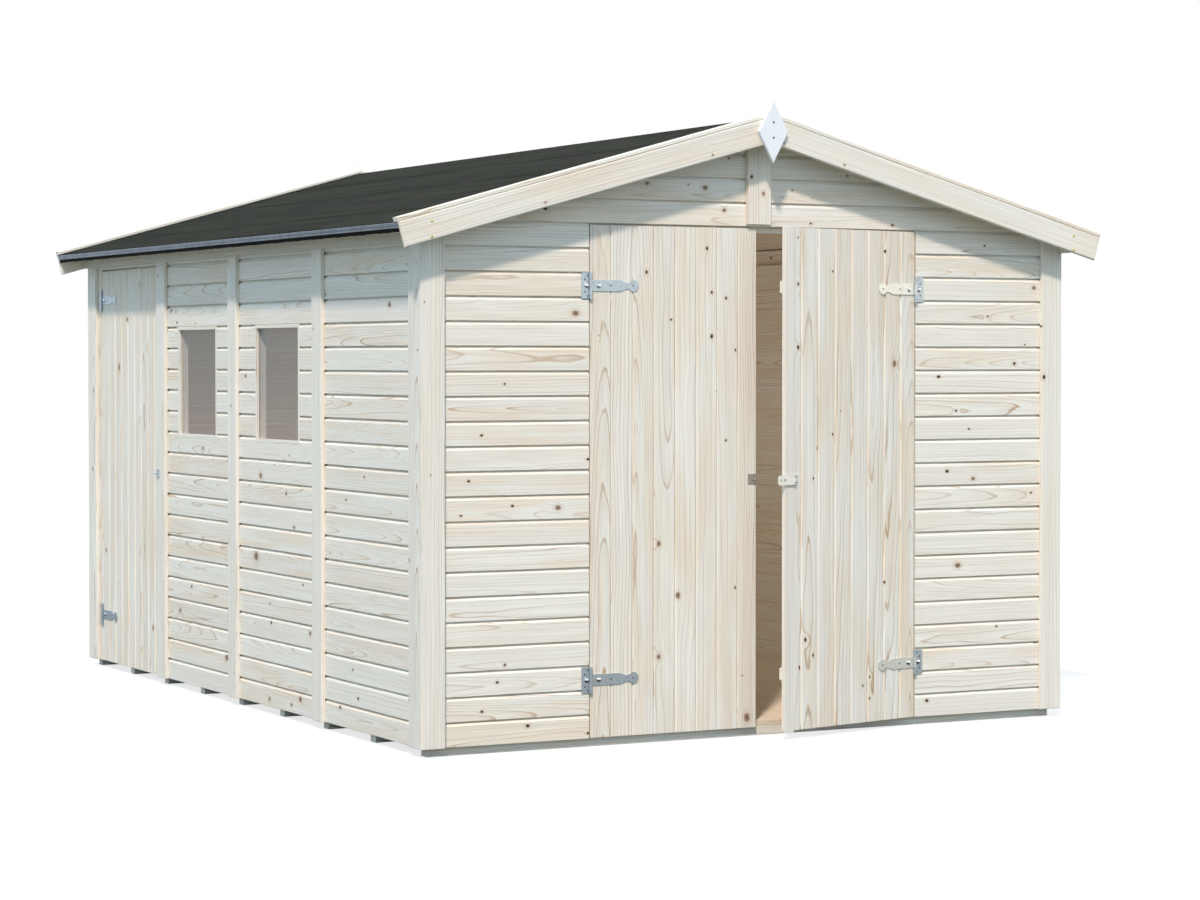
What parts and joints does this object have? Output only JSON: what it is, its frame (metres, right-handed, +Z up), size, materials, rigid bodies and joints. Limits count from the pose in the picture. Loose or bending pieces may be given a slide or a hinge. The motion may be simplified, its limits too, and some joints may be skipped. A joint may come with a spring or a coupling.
{
  "type": "garden shed",
  "caption": "Gable-roofed timber garden shed with a double door in the front gable, a single side door, side windows, a felted roof and a boarded floor on bearers.",
  "frame": {"origin": "on the ground under the middle of the floor, where the middle bearer stands", "axes": "+Z up, -Y out of the gable with the double door, +Y along the ridge to the back, -X out of the long wall with the windows"},
  "size_m": [2.968, 3.9314, 2.3282],
  "materials": {
    "softwood": "planed, untreated",
    "floor_wood": "planed, untreated",
    "white_wood": "pale, smooth",
    "roofing_felt": "mineral, matt",
    "roof_metal": "satin grey",
    "galvanised_steel": "zinc plated",
    "window_glass": "clear"
  },
  "bodies": {
    "shed": {"apex_strips": "softwood", "back_wall": "softwood", "corner_boards": "softwood", "drip_edges": "roof_metal", "eaves_boards": "softwood", "finials": "white_wood", "floor": "floor_wood", "floor_bearers": "floor_wood", "front_gable": "softwood", "front_panels": "softwood", "gable_rails": "softwood", "gable_studs": "softwood", "hinge_plates": "galvanised_steel", "left_bargeboards": "softwood", "left_caps": "softwood", "left_panel_back": "softwood", "left_panel_front": "softwood", "left_panel_over_door": "softwood", "left_panel_window_back": "softwood", "left_panel_window_front": "softwood", "left_roof_deck": "softwood", "left_roof_felt": "roofing_felt", "right_bargeboards": "softwood", "right_caps": "softwood", "right_roof_deck": "softwood", "right_roof_felt": "roofing_felt", "right_wall": "softwood", "roof_beams": "softwood", "side_rails": "softwood", "side_staple": "galvanised_steel", "side_studs": "softwood", "wall_trims": "softwood", "window_linings": "softwood", "window_panes": "window_glass"},
    "left_door": {"left_leaf": "softwood", "left_ledges": "softwood", "left_hinge_straps": "galvanised_steel", "left_staple": "galvanised_steel"},
    "right_door": {"right_leaf": "softwood", "right_ledges": "softwood", "right_hinge_straps": "galvanised_steel", "right_hasp_plate": "galvanised_steel"},
    "hasp": {"right_hasp_strap": "galvanised_steel"},
    "side_door": {"side_leaf": "softwood", "side_ledges": "softwood", "side_hinge_straps": "galvanised_steel"}
  },
  "joints": [
    {"name": "left_door_hinge", "type": "hinge", "parent": "shed", "child": "left_door", "pos_m": [-0.692, -1.8245, 0.945], "axis": [0, 0, -1], "range_deg": [0, 150]},
    {"name": "right_door_hinge", "type": "hinge", "parent": "shed", "child": "right_door", "pos_m": [0.692, -1.8245, 0.945], "axis": [0, 0, 1], "range_deg": [-13.5, 136.5]},
    {"name": "side_door_hinge", "type": "hinge", "parent": "shed", "child": "side_door", "pos_m": [-1.3505, 1.674, 0.945], "axis": [0, 0, -1], "range_deg": [0, 150]},
    {"name": "hasp_hinge", "type": "hinge", "parent": "right_door", "child": "hasp", "pos_m": [0.07116, -1.97149, 0.947], "axis": [0, 0, 1], "range_deg": [0, 120]}
  ]
}
